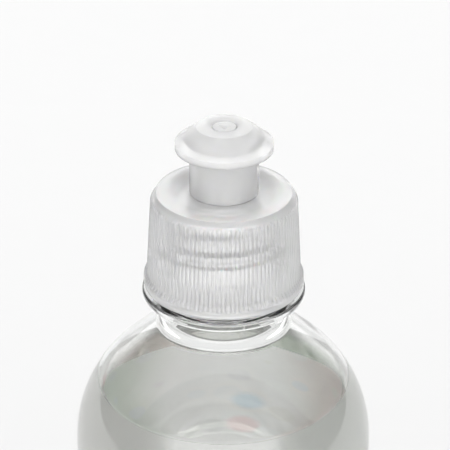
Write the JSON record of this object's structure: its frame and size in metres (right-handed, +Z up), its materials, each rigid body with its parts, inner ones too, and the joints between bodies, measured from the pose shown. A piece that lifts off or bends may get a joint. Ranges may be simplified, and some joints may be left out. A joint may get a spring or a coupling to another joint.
{
  "type": "shampoo bottle",
  "caption": "Clear round bottle of shampoo with a ribbed screw closure, a push-pull spout and a wrap label.",
  "frame": {"origin": "on the bottle's axis, in the plane of the standing ring that it rests on", "axes": "+Z up the bottle's axis to the spout, -Y towards the front of the label, +X to the right when it is seen from the front"},
  "size_m": [0.0554, 0.0554, 0.1667],
  "materials": {
    "clear_pet": "clear blown PET, glossy",
    "pale_shampoo": "clear liquid, very pale green-grey",
    "printed_film": "printed film, soft pink, green and white",
    "white_foam": "white expanded polyethylene",
    "natural_pp": "natural milky polypropylene, semi-gloss",
    "spout_pp": "natural milky polyethylene, semi-gloss"
  },
  "bodies": {
    "bottle": {"bottle": "clear_pet", "shampoo_fill": "pale_shampoo", "wrap_label": "printed_film"},
    "seal": {"seal_ring": "white_foam"},
    "closure": {"closure": "natural_pp"},
    "spout": {"spout": "spout_pp"}
  },
  "joints": [
    {"name": "cap_lift", "type": "slide", "parent": "bottle", "child": "seal", "axis": [0, 0, 1], "range_m": [0, 0.00556]},
    {"name": "cap_turn", "type": "hinge", "parent": "seal", "child": "closure", "pos_m": [0, 0, 0.152], "axis": [0, 0, 1], "range_deg": [0, 630]},
    {"name": "spout_pull", "type": "slide", "parent": "closure", "child": "spout", "axis": [0, 0, 1], "range_m": [0, 0.0045]}
  ],
  "couplings": [
    {"joint": "cap_lift", "follows": "cap_turn", "m_per_rad": 0.00050532}
  ]
}
